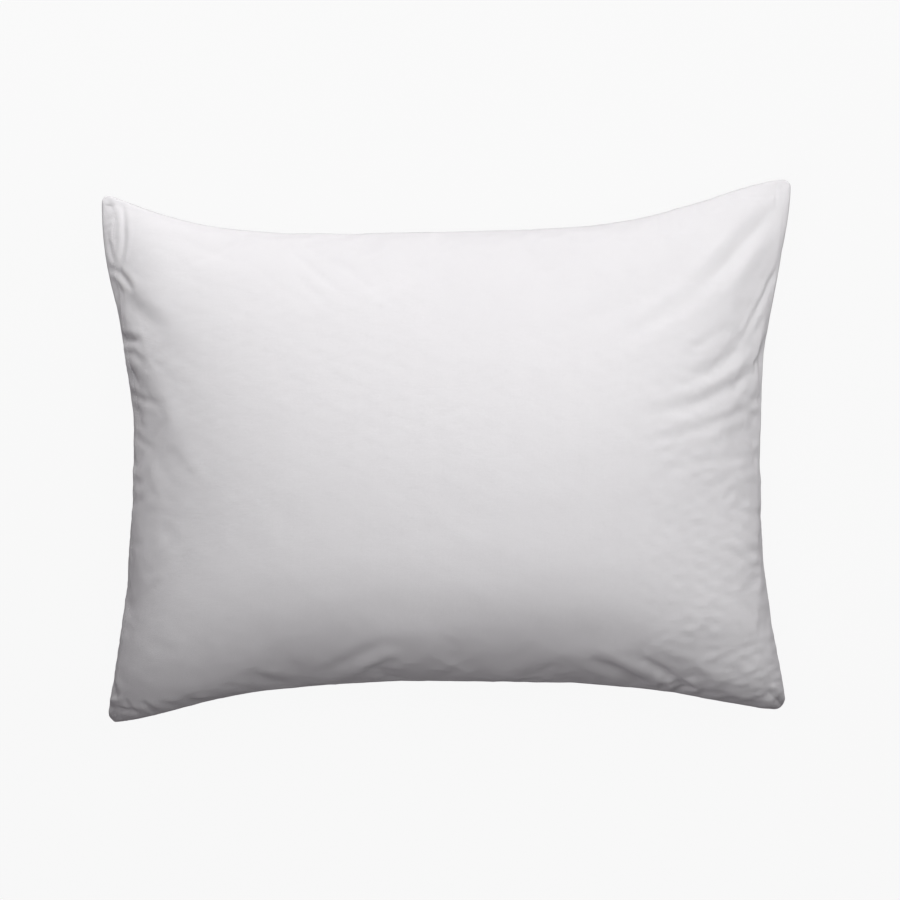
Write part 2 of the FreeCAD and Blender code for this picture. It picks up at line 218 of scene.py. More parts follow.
# === Small helpers ===


def unit(vectors):
    length = np.linalg.norm(vectors, axis=-1, keepdims=True)
    return vectors / np.maximum(length, 1e-12)


def smooth(x, start, stop):
    """0 before start, 1 after stop, and a smooth turn between them."""
    t = np.clip((x - start) / (stop - start), 0, 1)
    return t * t * (3 - 2 * t)


def bell(x, width):
    return np.exp(-((x / width) ** 2))


def grid_normals(points):
    """The normals of a grid of points, (rows, columns, 3), on the side that X cross Y faces."""
    along_x = np.gradient(points, axis=1)
    along_y = np.gradient(points, axis=0)
    return unit(np.cross(along_x, along_y))


def weights(places, count):
    """The matrix that reads a row of count even samples on -1 to 1 at these places, by cubic curves."""
    at = (places + 1) / 2 * (count - 1)
    first = np.clip(np.floor(at).astype(int), 0, count - 2)
    f = at - first
    cubic = (
        -0.5 * f**3 + f**2 - 0.5 * f,
        1.5 * f**3 - 2.5 * f**2 + 1,
        -1.5 * f**3 + 2 * f**2 + 0.5 * f,
        0.5 * f**3 - 0.5 * f**2,
    )
    matrix = np.zeros((len(places), count))
    for step, share in enumerate(cubic):
        column = np.clip(first + step - 1, 0, count - 1)
        np.add.at(matrix, (np.arange(len(places)), column), share)
    return matrix


def resample(samples, u, v):
    return weights(v, samples.shape[0]) @ samples @ weights(u, samples.shape[1]).T


# === The form: the pillow before its cloth wrinkles ===


def drawn_in(side, place):
    """How far a side lies inside the line between its corners, at a place from -1 to 1 along it."""
    bow, low, high = BOWS[side]
    share = 1.0
    for distance, (reach, power) in ((1 + place, low), (1 - place, high)):
        share = share * (1 - np.exp(-((np.maximum(distance, 0) / reach) ** power)))
    return bow * share


def corner(end, side):
    x = cad_low.x if end == "mouth" else cad_high.x
    y = cad_low.y if side == "foot" else cad_high.y
    ease = EARS[end, side]
    return x + ease[0], y + ease[1]


def between(first, second, place):
    return first + (second - first) * (place + 1) / 2


def outline_side(side, place):
    """The coordinate across a side: X for the mouth and the end, Y for the head and the foot."""
    if side in ("mouth", "end"):
        first, second = corner(side, "foot")[0], corner(side, "head")[0]
        inwards = 1 if side == "mouth" else -1
    else:
        first, second = corner("mouth", side)[1], corner("end", side)[1]
        inwards = 1 if side == "foot" else -1
    return between(first, second, place) + inwards * drawn_in(side, place)


def slope(place, crown_at, low_side, high_side):
    """The height share of the dome at a place from -1 to 1 across it."""
    low = np.abs((place - crown_at) / (1 + crown_at))
    high = np.abs((place - crown_at) / (1 - crown_at))
    power, fullness = SLOPES[low_side]
    low_share = np.maximum(1 - low**power, 0) ** fullness
    power, fullness = SLOPES[high_side]
    high_share = np.maximum(1 - high**power, 0) ** fullness
    return np.where(place < crown_at, low_share, high_share)


def slope_x(s):
    return slope(s, CROWN_AT[0], "mouth", "end")


def slope_y(t):
    return slope(t, CROWN_AT[1], "foot", "head")


def even_cloth(share, half_width):
    """A function from flat cloth, -1 to 1, to the place across the dome that takes that length of cloth."""
    place = np.sin(np.linspace(-1, 1, 1601) * math.pi / 2)
    steps = np.hypot(np.diff(place) * half_width, np.diff(share(place)) * CROWN)
    length = np.concatenate([[0], np.cumsum(steps)])
    return lambda flat: np.interp(flat, length / length[-1] * 2 - 1, place)


def plan(s, t):
    x = (outline_side("mouth", t) * (1 - s) + outline_side("end", t) * (1 + s)) / 2
    y = (outline_side("foot", s) * (1 - t) + outline_side("head", s) * (1 + t)) / 2
    return x, y


def round_corners(x, y, u, v):
    """Rounds the four corners of the outline, and the cloth inside them with it."""
    half_x, half_y = FLAT[0] / 2, FLAT[1] / 2
    radius = np.where((u > 0) & (v < 0), END_FOOT_RADIUS, EAR_RADIUS)
    a, b = (1 - np.abs(u)) * half_x, (1 - np.abs(v)) * half_y
    inside, along = np.minimum(a, b), np.maximum(a, b)
    reach = np.clip(1 - (along - inside) / radius, 0, 1)
    turn = reach * math.pi / 4
    fade = np.clip(1 - inside / (2.5 * radius), 0, 1)
    back = radius * (1 - np.cos(turn)) * fade
    aside = radius * (reach - np.sin(turn)) * fade
    step_x = np.where(a < b, back, aside)
    step_y = np.where(a < b, aside, back)
    return x - np.sign(u) * step_x, y - np.sign(v) * step_y


def form(u, v, top):
    """The points of a flat-cloth grid (u, v), each from -1 to 1, on the unwrinkled pillow."""
    shape_x, shape_y = even_cloth(slope_x, 0.30), even_cloth(slope_y, 0.215)
    s = u + (shape_x(u) - u) * (1 - v**6)
    t = v + (shape_y(v) - v) * (1 - u**6)
    x, y = round_corners(*plan(s, t), u, v)
    at_foot = smooth(-t, -0.2, 1)
    height = (slope_x(s) * slope_y(t)) ** (1 - FULL_CORNER * at_foot * smooth(np.abs(s), 0.3, 1))
    droop = EAR_DROOP + FOOT_EAR_DROOP * at_foot * (1 - 0.35 * smooth(s, 0, 1))
    seam = SEAM_LEVEL - FOOT_DROP * at_foot - droop * (s * t) ** 4
    if top:
        z = seam + (cad_high.z - seam) * height
    else:
        z = settle(seam - BELLY * height**0.9)
    return np.stack([x, y, z], axis=-1)


def settle(z):
    """Presses what would hang below the surface that the pillow lies on flat against it."""
    rest, round_off = cad_low.z, 0.010
    return rest + round_off * np.logaddexp(0, (z - rest) / round_off) * smooth(z, rest - 0.014, rest + 0.02)


# === The wrinkles: a flat bag is blown up by cloth simulation, and its relief is read off it ===

SIM_STEP = 0.005
SIM_FRAMES = 26
SIM_CELLS = tuple(int(round(size / SIM_STEP)) for size in FLAT)


def bag_mesh():
    """Two flat layers that share their rim."""
    nx, ny = SIM_CELLS
    count = (nx + 1) * (ny + 1)
    x, y = np.meshgrid(np.linspace(-1, 1, nx + 1), np.linspace(-1, 1, ny + 1))
    lift = 0.004 * (1 - x**2) * (1 - y**2)
    flat = [x * FLAT[0] / 2, y * FLAT[1] / 2]
    upper = np.stack([*flat, lift], axis=-1)
    lower = np.stack([*flat, -lift], axis=-1)[1:-1, 1:-1]
    upper_index = np.arange(count).reshape(ny + 1, nx + 1)
    lower_index = upper_index.copy()
    lower_index[1:-1, 1:-1] = count + np.arange((nx - 1) * (ny - 1)).reshape(ny - 1, nx - 1)
    faces = np.concatenate([grid_faces(upper_index), grid_faces(lower_index)[:, ::-1]])
    mesh = bpy.data.meshes.new("bag")
    mesh.from_pydata(np.concatenate([upper.reshape(-1, 3), lower.reshape(-1, 3)]), [], faces.tolist())
    return mesh, upper_index, lower_index


def grid_faces(index):
    corners = (index[:-1, :-1], index[:-1, 1:], index[1:, 1:], index[1:, :-1])
    return np.stack([c.ravel() for c in corners], axis=-1)


def blow_up_bag():
    """The simulated bag's upper and lower layers, each a grid of points."""
    mesh, upper_index, lower_index = bag_mesh()
    bag = bpy.data.objects.new("bag", mesh)
    bpy.context.scene.collection.objects.link(bag)
    cloth = bag.modifiers.new("cloth", "CLOTH")
    settings = cloth.settings
    settings.quality = 8
    settings.mass = 0.1
    settings.tension_stiffness = settings.compression_stiffness = 30
    settings.shear_stiffness = 5
    settings.bending_stiffness = 0.02
    settings.air_damping = 2
    settings.use_pressure = True
    settings.uniform_pressure_force = 4
    settings.effector_weights.gravity = 0
    cloth.collision_settings.use_collision = False
    cloth.point_cache.frame_end = SIM_FRAMES
    for number in range(1, SIM_FRAMES + 1):
        bpy.context.scene.frame_set(number)
    blown = bag.evaluated_get(bpy.context.evaluated_depsgraph_get()).data
    points = np.zeros(len(blown.vertices) * 3)
    blown.vertices.foreach_get("co", points)
    points = points.reshape(-1, 3)
    bpy.data.objects.remove(bag)
    bpy.context.scene.frame_set(1)
    return points[upper_index], points[lower_index]


def mirrored(points):
    """The four copies of a layer that it would match if it were the same on both sides of X and of Y."""
    for flip_x in (1, -1):
        for flip_y in (1, -1):
            yield points[::flip_y, ::flip_x] * (flip_x, flip_y, 1)


def simulated_relief():
    """How far each layer stands out of the even shape that both share, over the flat cloth."""
    upper, lower = blow_up_bag()
    lower = lower * (1, 1, -1)
    even = sum([*mirrored(upper), *mirrored(lower)]) / 8
    normals = grid_normals(even)
    return [((layer - even) * normals).sum(axis=-1) for layer in (upper, lower)]


relief = simulated_relief()


# === Creases and puckers ===


def curve_through(places):
    """Points on the smooth curve through three places, each with its share of the way from 0 to 1."""
    start, middle, end = np.array(places, float).reshape(3, 2)
    pull = 2 * middle - (start + end) / 2
    t = np.linspace(0, 1, 48)[:, None]
    return t[:, 0], (1 - t) ** 2 * start + 2 * t * (1 - t) * pull + t**2 * end


def crease_stand(x, y, creases):
    """How far creases raise the cloth, negative in a valley, at places in metres."""
    stand = np.zeros_like(x)
    for *places, depth, width in creases:
        t, line = curve_through(np.array(places) / 1000)
        width = width / 1000
        margin = 4 * width
        low, high = line.min(axis=0) - margin, line.max(axis=0) + margin
        near = (x > low[0]) & (x < high[0]) & (y > low[1]) & (y < high[1])
        if not near.any():
            continue
        apart = np.stack([x[near], y[near]], axis=-1)[:, None] - line
        nearest = (apart**2).sum(axis=-1).argmin(axis=1)
        gap = np.linalg.norm(apart[np.arange(len(nearest)), nearest], axis=-1)
        fade = np.sin(t[nearest] * math.pi) ** 0.7
        valley = bell(gap, width) - 0.35 * bell(gap - 2.1 * width, width)
        stand[near] -= depth / 1000 * fade * valley
    return stand


def puckers(seed):
    """Short creases that run in from the sides, each at its own slant."""
    random = np.random.default_rng(seed)
    made = []
    for side, (count, first, last, depth, length) in PUCKERS.items():
        across = side in ("mouth", "end")
        inwards = 1 if side in ("mouth", "foot") else -1
        for along in random.uniform(first, last, count):
            half = (cad_high.y if across else cad_high.x) * 1000
            edge = outline_side(side, along / half) * 1000
            reach = length * random.uniform(0.5, 1.5)
            slant = random.uniform(-0.6, 0.6)
            bend = random.uniform(-0.2, 0.2) * reach
            size = depth * random.uniform(0.4, 1.7)
            width = random.uniform(2.2, 4.2)
            line = [(edge - 6 * inwards, along)]
            line.append((edge + inwards * reach / 2, along + slant * reach / 2 + bend))
            line.append((edge + inwards * reach, along + slant * reach))
            places = [place if across else place[::-1] for place in line]
            made.append([number for place in places for number in place] + [size, width])
    return made


def lumps(x, y, seed, length, stretch=1.0):
    """Soft random unevenness, about -1 to 1, with a typical length in metres, longer in X by stretch."""
    waves = np.random.default_rng(seed).uniform(0, 1, (40, 3))
    total = np.zeros_like(x)
    for heading, size, phase in waves:
        wave = 2 * math.pi / (length * (0.6 + 0.8 * size))
        turn = heading * 2 * math.pi
        total += np.sin(wave * (x * math.cos(turn) / stretch + y * math.sin(turn)) + phase * 6.3)
    return total / math.sqrt(len(waves))


# === Layers of cloth ===


def cloth_lines(count, closer):
    """Places from -1 to 1 that crowd together around some of them."""
    even = np.linspace(-1, 1, 4001)
    density = np.ones_like(even) + sum(gain * bell(even - place, reach) for place, reach, gain in closer)
    total = np.concatenate([[0], np.cumsum((density[1:] + density[:-1]) / 2)])
    return np.interp(np.linspace(0, total[-1], count), total, even)


def outwards(u, v):
    """The level direction out of the pillow, which matters near its rim."""
    level = np.stack([np.sign(u) * np.abs(u) ** 14, np.sign(v) * np.abs(v) ** 14, np.zeros_like(u)], axis=-1)
    return unit(level + 1e-9)


def from_sides(u, v):
    """The distance over the flat cloth from the mouth, and from the nearest sewn side."""
    mouth = (1 + u) * FLAT[0] / 2
    sewn = np.minimum((1 - u) * FLAT[0] / 2, (1 - np.abs(v)) * FLAT[1] / 2)
    return mouth, sewn


def sewing_stand(u, v):
    """What the hem, its row of stitches and the seam allowances add to the cloth's level."""
    mouth, sewn = from_sides(u, v)
    along = v * FLAT[1] / 2
    band = 0.0004 * (1 - smooth(mouth, HEM - 0.0006, HEM + 0.0012))
    ropes = 0.00022 * np.sin(along / 0.0021 + mouth / 0.0045 + 3 * lumps(along, mouth, 8, 0.05))
    ropes = ropes * (1 - smooth(mouth, 0.012, HEM)) * smooth(mouth, 0.0, 0.006)
    groove = -0.00035 * bell(mouth - HEM_STITCHES, 0.0013)
    allowance = 0.0003 * (1 - smooth(sewn, ALLOWANCE - 0.0004, ALLOWANCE + 0.0012))
    return band + ropes + groove + allowance


def mouth_gap(u, v):
    """How far each side of the mouth stands off the middle, between the bar-tacks."""
    mouth, _ = from_sides(u, v)
    along = v * FLAT[1] / 2
    gap = 0.0011 + 0.0006 * lumps(along, 0 * along, 21, 0.09)
    return np.maximum(gap, 0.0004) * smooth(1 - np.abs(v), 0.05, 0.2) * np.exp(-mouth / 0.012)


def rolled_down(u, v):
    """How far the rim curls down along the mouth, the closed end and the foot side, between the ears."""
    inwards = {"mouth": (1 + u) * FLAT[0] / 2, "end": (1 - u) * FLAT[0] / 2, "foot": (1 + v) * FLAT[1] / 2}
    curl = {side: depth * np.exp(-inwards[side] / reach) for side, (depth, reach) in ROLLED.items()}
    at_ends = (curl["mouth"] + curl["end"]) * smooth(1 - np.abs(v), 0.02, 0.16)
    return at_ends + curl["foot"] * smooth(1 - np.abs(u), 0.02, 0.3)


class Layer:
    """A layer of cloth over the flat-cloth lines, which other pieces are laid on or under."""

    def __init__(self, u_lines, v_lines, points, outward):
        self.u_lines, self.v_lines = u_lines, v_lines
        self.points, self.outward = points, outward
        self.normals = grid_normals(points) * outward

    def read(self, u, v):
        """The points and normals at places from -1 to 1."""
        columns = np.interp(u, self.u_lines, np.arange(len(self.u_lines)))
        rows = np.interp(v, self.v_lines, np.arange(len(self.v_lines)))
        i = np.clip(columns.astype(int), 0, len(self.u_lines) - 2)
        j = np.clip(rows.astype(int), 0, len(self.v_lines) - 2)
        a, b = (columns - i)[..., None], (rows - j)[..., None]
        found = []
        for grid in (self.points, self.normals):
            low = grid[j, i] * (1 - a) + grid[j, i + 1] * a
            high = grid[j + 1, i] * (1 - a) + grid[j + 1, i + 1] * a
            found.append(low * (1 - b) + high * b)
        return found[0], unit(found[1])

    def at(self, u, v, depth=0.0):
        points, normals = self.read(u, v)
        return points - normals * np.broadcast_to(depth, np.shape(u))[..., None]


def case_layer(top):
    """The outer face of the pillowcase's front or back."""
    u_lines, v_lines = cloth_lines(LINES[0], CLOSER_X), cloth_lines(LINES[1], CLOSER_Y)
    u, v = np.meshgrid(u_lines, v_lines)
    points = form(u, v, top)
    normals = grid_normals(points) * (1 if top else -1)
    both = [resample(layer, u_lines, v_lines) for layer in relief]
    stand, shared = both[0 if top else 1], (both[0] + both[1]) / 2
    rim = np.minimum(*from_sides(u, v))
    near_rim = np.exp(-rim / 0.006)[..., None]
    x, y = points[..., 0], points[..., 1]
    depth, pucker_seed, seed = (1, 4, 0) if top else (BACK_CREASES, 9, 10)
    folds = depth * crease_stand(x, y, CREASES) + crease_stand(x, y, puckers(pucker_seed))
    # Crumpling near the closed end, two sizes of unevenness all over, and some more at the foot side
    creased = smooth(x, 0.12, 0.27) * smooth(0.19 - y, 0.0, 0.12) * (1 + smooth(-y, -0.05, 0.08))
    folds = folds + 0.00017 * creased * lumps(x, y, 3 + seed, 0.010, 2.4)
    folds = folds + 0.00008 * lumps(x, y, 5 + seed, 0.016)
    folds = folds + 0.00015 * lumps(x, y, 6 + seed, 0.042)
    folds = folds + 0.00016 * smooth(-y, 0.13, 0.2) * lumps(x, y, 7 + seed, 0.024)
    folds = folds * (1 - np.exp(-rim / 0.0045))
    stand = (stand * OWN_WRINKLES)[..., None] * (1 - near_rim)
    stand = stand + (shared * SHARED_WRINKLES)[..., None] * near_rim
    facing = unit(normals * (1 - near_rim) + outwards(u, v) * near_rim)
    points = points + facing * stand + normals * (folds + sewing_stand(u, v))[..., None]
    apart = 0.00035 * np.exp(-rim / 0.003) + mouth_gap(u, v)
    points[..., 2] += apart if top else -apart
    points[..., 2] -= rolled_down(u, v)
    if not top:
        points[..., 2] = np.maximum(points[..., 2], cad_low.z)
    return Layer(u_lines, v_lines, points, 1 if top else -1)


def ticking_layer(top):
    """The outer face of the ticking's upper or lower side: the same form, smaller, with its own wrinkles."""
    u_lines = cloth_lines(TICKING_LINES[0], ((-1.0, 0.12, 2.0), (1.0, 0.12, 2.0)))
    v_lines = cloth_lines(TICKING_LINES[1], ((-1.0, 0.14, 2.0), (1.0, 0.14, 2.0)))
    u, v = np.meshgrid(u_lines, v_lines)
    smaller = np.stack([0.955 - 0.04 * v**4, 0.945 - 0.055 * u**4, np.ones_like(u)], axis=-1)
    points = form(u, v, top) * smaller
    points[..., 2] = SEAM_LEVEL + (points[..., 2] - SEAM_LEVEL) * 0.96
    normals = grid_normals(points) * (1 if top else -1)
    own = resample(relief[1 if top else 0][::-1, ::-1], u_lines, v_lines)
    rim = np.minimum((1 - np.abs(u)) * FLAT[0] / 2, (1 - np.abs(v)) * FLAT[1] / 2)
    own = own * 0.45 * (1 - np.exp(-rim / 0.01))
    x, y = points[..., 0] / 0.955, points[..., 1] / 0.945
    own = own + 0.8 * crease_stand(x, y, puckers(31 if top else 37))
    allowance = 0.0003 * (1 - smooth(rim, 0.0075, 0.0095))
    points = points + normals * (np.minimum(own, 0.0006) + allowance)[..., None]
    points[..., 2] += 0.0003 * np.exp(-rim / 0.003) * (1 if top else -1)
    if not top:
        points[..., 2] = np.maximum(points[..., 2], cad_low.z + 0.0012)
    return Layer(u_lines, v_lines, points, 1 if top else -1)


# === Meshes ===


def closed_mesh(name, outer, inner, flat_uv, flip=False):
    """A closed mesh between two equal grids of points, with flat-cloth places in metres as its UV map."""
    rows, columns = outer.shape[:2]
    outer_index = np.arange(rows * columns).reshape(rows, columns)
    offset = rows * columns
    around = (outer_index[0], outer_index[1:, -1], outer_index[-1, -2::-1], outer_index[-2:0:-1, 0])
    rim = np.concatenate(around)
    after = np.roll(rim, -1)
    sides = np.stack([rim, rim + offset, after + offset, after], axis=-1)
    faces = np.concatenate([grid_faces(outer_index), grid_faces(outer_index + offset)[:, ::-1], sides])
    if flip:
        faces = faces[:, ::-1]
    mesh = bpy.data.meshes.new(name)
    mesh.from_pydata(np.concatenate([outer.reshape(-1, 3), inner.reshape(-1, 3)]), [], faces.tolist())
    mesh.polygons.foreach_set("use_smooth", np.ones(len(faces), bool))
    layer = mesh.uv_layers.new(name="cloth")
    corners = np.zeros(len(mesh.loops), np.int32)
    mesh.loops.foreach_get("vertex_index", corners)
    both = np.concatenate([flat_uv.reshape(-1, 2)] * 2)
    layer.uv.foreach_set("vector", both[corners].astype(np.float32).ravel())
    return placed(name, mesh)


def placed(name, mesh):
    mesh.update()
    made = bpy.data.objects.new(name, mesh)
    bpy.context.scene.collection.objects.link(made)
    return made


def shell(name, points, flat_uv, thickness, outward):
    """A closed sheet of cloth: the grid of points is its outer face."""
    inner = points - grid_normals(points) * outward * thickness
    return closed_mesh(name, points, inner, flat_uv, outward < 0)


def flat_places(u_lines, v_lines, flat=FLAT):
    u, v = np.meshgrid(u_lines * flat[0] / 2, v_lines * flat[1] / 2)
    return np.stack([u, v], axis=-1)


def whole(name, layer, flat):
    return shell(name, layer.points, flat_places(layer.u_lines, layer.v_lines, flat), CLOTH, layer.outward)


def patch(name, layer, u_lines, v_lines, depth, thickness=CLOTH):
    """A closed sheet that follows a layer of cloth over part of it, at a depth under its outer face."""
    u, v = np.meshgrid(u_lines, v_lines)
    return shell(name, layer.at(u, v, depth), flat_places(u_lines, v_lines), thickness, layer.outward)


def in_from(side, low, high, count):
    """Flat-cloth places, in rising order, from one distance in from a side to another."""
    distance = np.linspace(low, high, count)
    size = FLAT[0] if side in ("mouth", "end") else FLAT[1]
    place = 1 - 2 * distance / size
    return np.sort(-place if side in ("mouth", "foot") else place)


def threads(name, runs, thickness, sides=6):
    """One mesh of closed tubes of thread, each along a line of points with the cloth's normals."""
    turn = np.linspace(0, 2 * math.pi, sides, endpoint=False)[None, :, None]
    points, faces, count = [], [], 0
    for line, up in runs:
        forward = unit(np.gradient(line, axis=0))
        aside = unit(np.cross(forward, up))
        over = np.cross(aside, forward)
        radius = np.full((len(line), 1, 1), thickness / 2)
        radius[[0, -1]] *= 0.45
        ring = np.cos(turn) * aside[:, None] + np.sin(turn) * over[:, None]
        points.append(line[:, None] + ring * radius)
        index = count + np.arange(len(line) * sides).reshape(len(line), sides)
        after = np.roll(index, -1, axis=1)
        quads = np.stack([index[:-1], index[1:], after[1:], after[:-1]], axis=-1).reshape(-1, 4)
        faces += [*quads.tolist(), index[0].tolist(), index[-1, ::-1].tolist()]
        count += index.size
    mesh = bpy.data.meshes.new(name)
    mesh.from_pydata(np.concatenate([p.reshape(-1, 3) for p in points]), [], faces)
    mesh.polygons.foreach_set("use_smooth", np.ones(len(faces), bool))
    return placed(name, mesh)


def stitch_row(layer, start, stop, rise=THREAD, flat=FLAT):
    """Stitches from one flat-cloth place to another, in metres, each dipping into the cloth at both ends."""
    start, stop = np.array(start), np.array(stop)
    count = int(round(np.linalg.norm(stop - start) / STITCH_PITCH))
    for number in range(count):
        share = (number + np.linspace(0.06, 0.9, 7)) / count
        places = start + (stop - start) * share[:, None]
        u, v = places[:, 0] / (flat[0] / 2), places[:, 1] / (flat[1] / 2)
        depth = -rise * (1.6 * np.sin(np.linspace(0, math.pi, 7)) ** 0.7 - 0.9)
        yield layer.at(u, v, depth), layer.read(u, v)[1]


def zigzag(layer, start, stop, width, pitch, rise):
    """A dense run of thread that goes to and fro across a line on the flat cloth."""
    start, stop = np.array(start), np.array(stop)
    along = stop - start
    across = unit(np.array([-along[1], along[0]]))
    count = int(round(np.linalg.norm(along) / pitch)) * 2
    swing = np.where(np.arange(count + 1) % 2, 0.5, -0.5)[:, None] * width
    places = start + along * np.linspace(0, 1, count + 1)[:, None] + across * swing
    u, v = places[:, 0] / (FLAT[0] / 2), places[:, 1] / (FLAT[1] / 2)
    turns, up = layer.at(u, v, -rise), layer.read(u, v)[1]
    line = np.repeat(turns, 2, axis=0)[:-1]
    line[1::2] = (turns[:-1] + turns[1:]) / 2 + up[:-1] * rise * 0.8
    return line, np.repeat(up, 2, axis=0)[:-1]


def overlock(layer, side):
    """Overlock thread that loops round a seam allowance's cut edge."""
    half, pitch = 0.00045, 0.0026
    side_size, across_size = FLAT[::-1] if side == "end" else FLAT
    length = side_size * 0.955
    # Each loop's corners: (share of the pitch, distance in from the side, level)
    loop = (
        (0.0, ALLOWANCE - OVERLOCK, 1),
        (0.25, ALLOWANCE + 0.0002, 1.2),
        (0.5, ALLOWANCE + 0.0002, -1.2),
        (0.75, ALLOWANCE - OVERLOCK, -1),
    )
    steps = [(n + share, inset, level) for n in range(int(length / pitch)) for share, inset, level in loop]
    step, inset, level = np.array(steps).T
    along = (step * pitch - length / 2) / (side_size / 2)
    across = (1 - 2 * inset / across_size) * (-1 if side == "foot" else 1)
    u, v = (across, along) if side == "end" else (along, across)
    return layer.at(u, v, -half * level), layer.read(u, v)[1]


# === Materials ===


class Nodes:
    """A short way to write the node tree of a material or a world."""

    def __init__(self, owner, shader="Principled BSDF"):
        owner.use_nodes = True
        self.owner = owner
        self.tree = owner.node_tree
        self.shader = self.tree.nodes[shader]

    def add(self, kind, sockets, **settings):
        node = self.tree.nodes.new("ShaderNode" + kind)
        for key, value in settings.items():
            setattr(node, key, value)
        for socket, value in sockets.items():
            if isinstance(value, bpy.types.NodeSocket):
                self.tree.links.new(value, node.inputs[socket])
            else:
                node.inputs[socket].default_value = value
        return node

    def math(self, operation, *values):
        return self.add("Math", dict(enumerate(values)), operation=operation).outputs[0]

    def scaled(self, place, x, y):
        return self.add("Mapping", {"Vector": place, "Scale": (x, y, 1.0)}).outputs[0]

    def noise(self, place, scale, detail=2.0, roughness=0.5, distortion=0.0):
        sockets = {"Vector": place, "Scale": scale, "Detail": detail, "Roughness": roughness}
        sockets["Distortion"] = distortion
        return self.add("TexNoise", sockets).outputs["Fac"]

    def between(self, value, low, high):
        return self.add("MapRange", {"Value": value, "To Min": low, "To Max": high}).outputs[0]

    def blend(self, share, first, second):
        sockets = {"Factor": share, 6: first, 7: second}
        return self.add("Mix", sockets, data_type="RGBA").outputs[2]

    def bump(self, height, distance, strength=1.0, under=None):
        sockets = {"Height": height, "Distance": distance, "Strength": strength}
        if under is not None:
            sockets["Normal"] = under
        return self.add("Bump", sockets).outputs[0]

    def finish(self, colour, roughness, normal, sheen=0.0, sheen_roughness=0.5):
        for socket, value in (("Base Color", colour), ("Roughness", roughness), ("Normal", normal)):
            self.tree.links.new(value, self.shader.inputs[socket])
        self.shader.inputs["Sheen Weight"].default_value = sheen
        self.shader.inputs["Sheen Roughness"].default_value = sheen_roughness
        return self.owner


def slot_nodes(name):
    """The nodes of a material for one of the record's material slots."""
    material = bpy.data.materials.new(name)
    material["slot"] = name
    return Nodes(material)


def woven(name, light, shade, yarn, slub, sheen):
    """Plain-woven cotton: yarns over and under each other with painted shade in the low places between them,
    slubs, soft darker patches at random and fine crumpling.
    """
    n = slot_nodes(name)
    place = n.add("UVMap", {}, uv_map="cloth").outputs[0]
    # Each yarn strays a little from its straight line
    wander = n.add("TexNoise", {"Vector": place, "Scale": 90.0, "Detail": 2.0}).outputs["Color"]
    wander = n.add("VectorMath", {0: wander, 1: (0.5, 0.5, 0.5)}, operation="SUBTRACT").outputs[0]
    wander = n.add("VectorMath", {0: wander, "Scale": yarn * 1.2}, operation="SCALE").outputs[0]
    bent = n.add("VectorMath", {0: place, 1: wander}, operation="ADD").outputs[0]
    # A wave texture makes one band per 2 pi / 20 of its scale: one band to two yarns
    wave = 2 * math.pi / 20 / (2 * yarn)
    warp = n.add("TexWave", {"Vector": bent, "Scale": wave}, bands_direction="X").outputs["Fac"]
    weft = n.add("TexWave", {"Vector": bent, "Scale": wave}, bands_direction="Y").outputs["Fac"]
    over = n.math("ABSOLUTE", n.math("SUBTRACT", warp, weft))
    thick_warp = n.noise(n.scaled(place, 900, 28), 1.0)
    thick_weft = n.noise(n.scaled(place, 28, 900), 1.0)
    yarns = n.math("ADD", thick_warp, thick_weft)
    soft = n.noise(place, 6.0, 3.0, 0.55)
    cloudy = n.noise(place, 34.0, 3.0, 0.6)
    crumple = n.noise(n.scaled(place, 1.0, 1.6), 210.0, 3.0, 0.55, 0.6)
    share = n.math("ADD", n.between(soft, 0.0, 0.6), n.between(cloudy, 0.0, 0.4))
    colour = n.blend(share, light, shade)
    yarn_tone = n.between(yarns, 0.0, 0.5)
    colour = n.blend(n.math("MULTIPLY", yarn_tone, slub), colour, shade)
    fluff = n.noise(place, 1500.0, 2.0, 0.6)
    # The low places between the yarns are painted darker, a violet grey: painted shade in the weave's gaps.
    colour = n.blend(n.math("MULTIPLY", n.math("SUBTRACT", 1.0, over), 0.05), colour, (0.62, 0.6, 0.64, 1))
    roughness = n.between(n.math("ADD", cloudy, fluff), 0.74, 0.98)
    normal = n.bump(crumple, 0.00012)
    normal = n.bump(yarns, 0.00006, 0.6, normal)
    normal = n.bump(over, yarn * 0.25, 0.5, normal)
    return n.finish(colour, roughness, normal, sheen, 0.45)


def spun(name, light, shade):
    """Twisted sewing thread."""
    n = slot_nodes(name)
    place = n.add("TexCoord", {}).outputs["Object"]
    twist = n.add("TexWave", {"Vector": place, "Scale": 900.0, "Distortion": 1.5}, bands_direction="DIAGONAL")
    tone = n.noise(place, 260.0)
    colour = n.blend(n.math("MULTIPLY", twist.outputs["Fac"], 0.5), light, shade)
    colour = n.blend(n.math("MULTIPLY", tone, 0.4), colour, shade)
    return n.finish(colour, n.between(tone, 0.5, 0.75), n.bump(twist.outputs["Fac"], 0.00004), 0.2)


def satin(name, light, shade):
    """Blank woven satin tape: fine lengthwise floats with a soft gloss."""
    n = slot_nodes(name)
    place = n.add("UVMap", {}, uv_map="cloth").outputs[0]
    floats = n.noise(n.scaled(place, 2600, 260), 1.0)
    ribs = n.add("TexWave", {"Vector": place, "Scale": 620.0}, bands_direction="Y").outputs["Fac"]
    tone = n.noise(place, 60.0)
    colour = n.blend(n.math("MULTIPLY", n.math("ADD", floats, tone), 0.5), light, shade)
    normal = n.bump(ribs, 0.00003, 0.7, n.bump(floats, 0.00005))
    return n.finish(colour, n.between(floats, 0.28, 0.5), normal, 0.1)


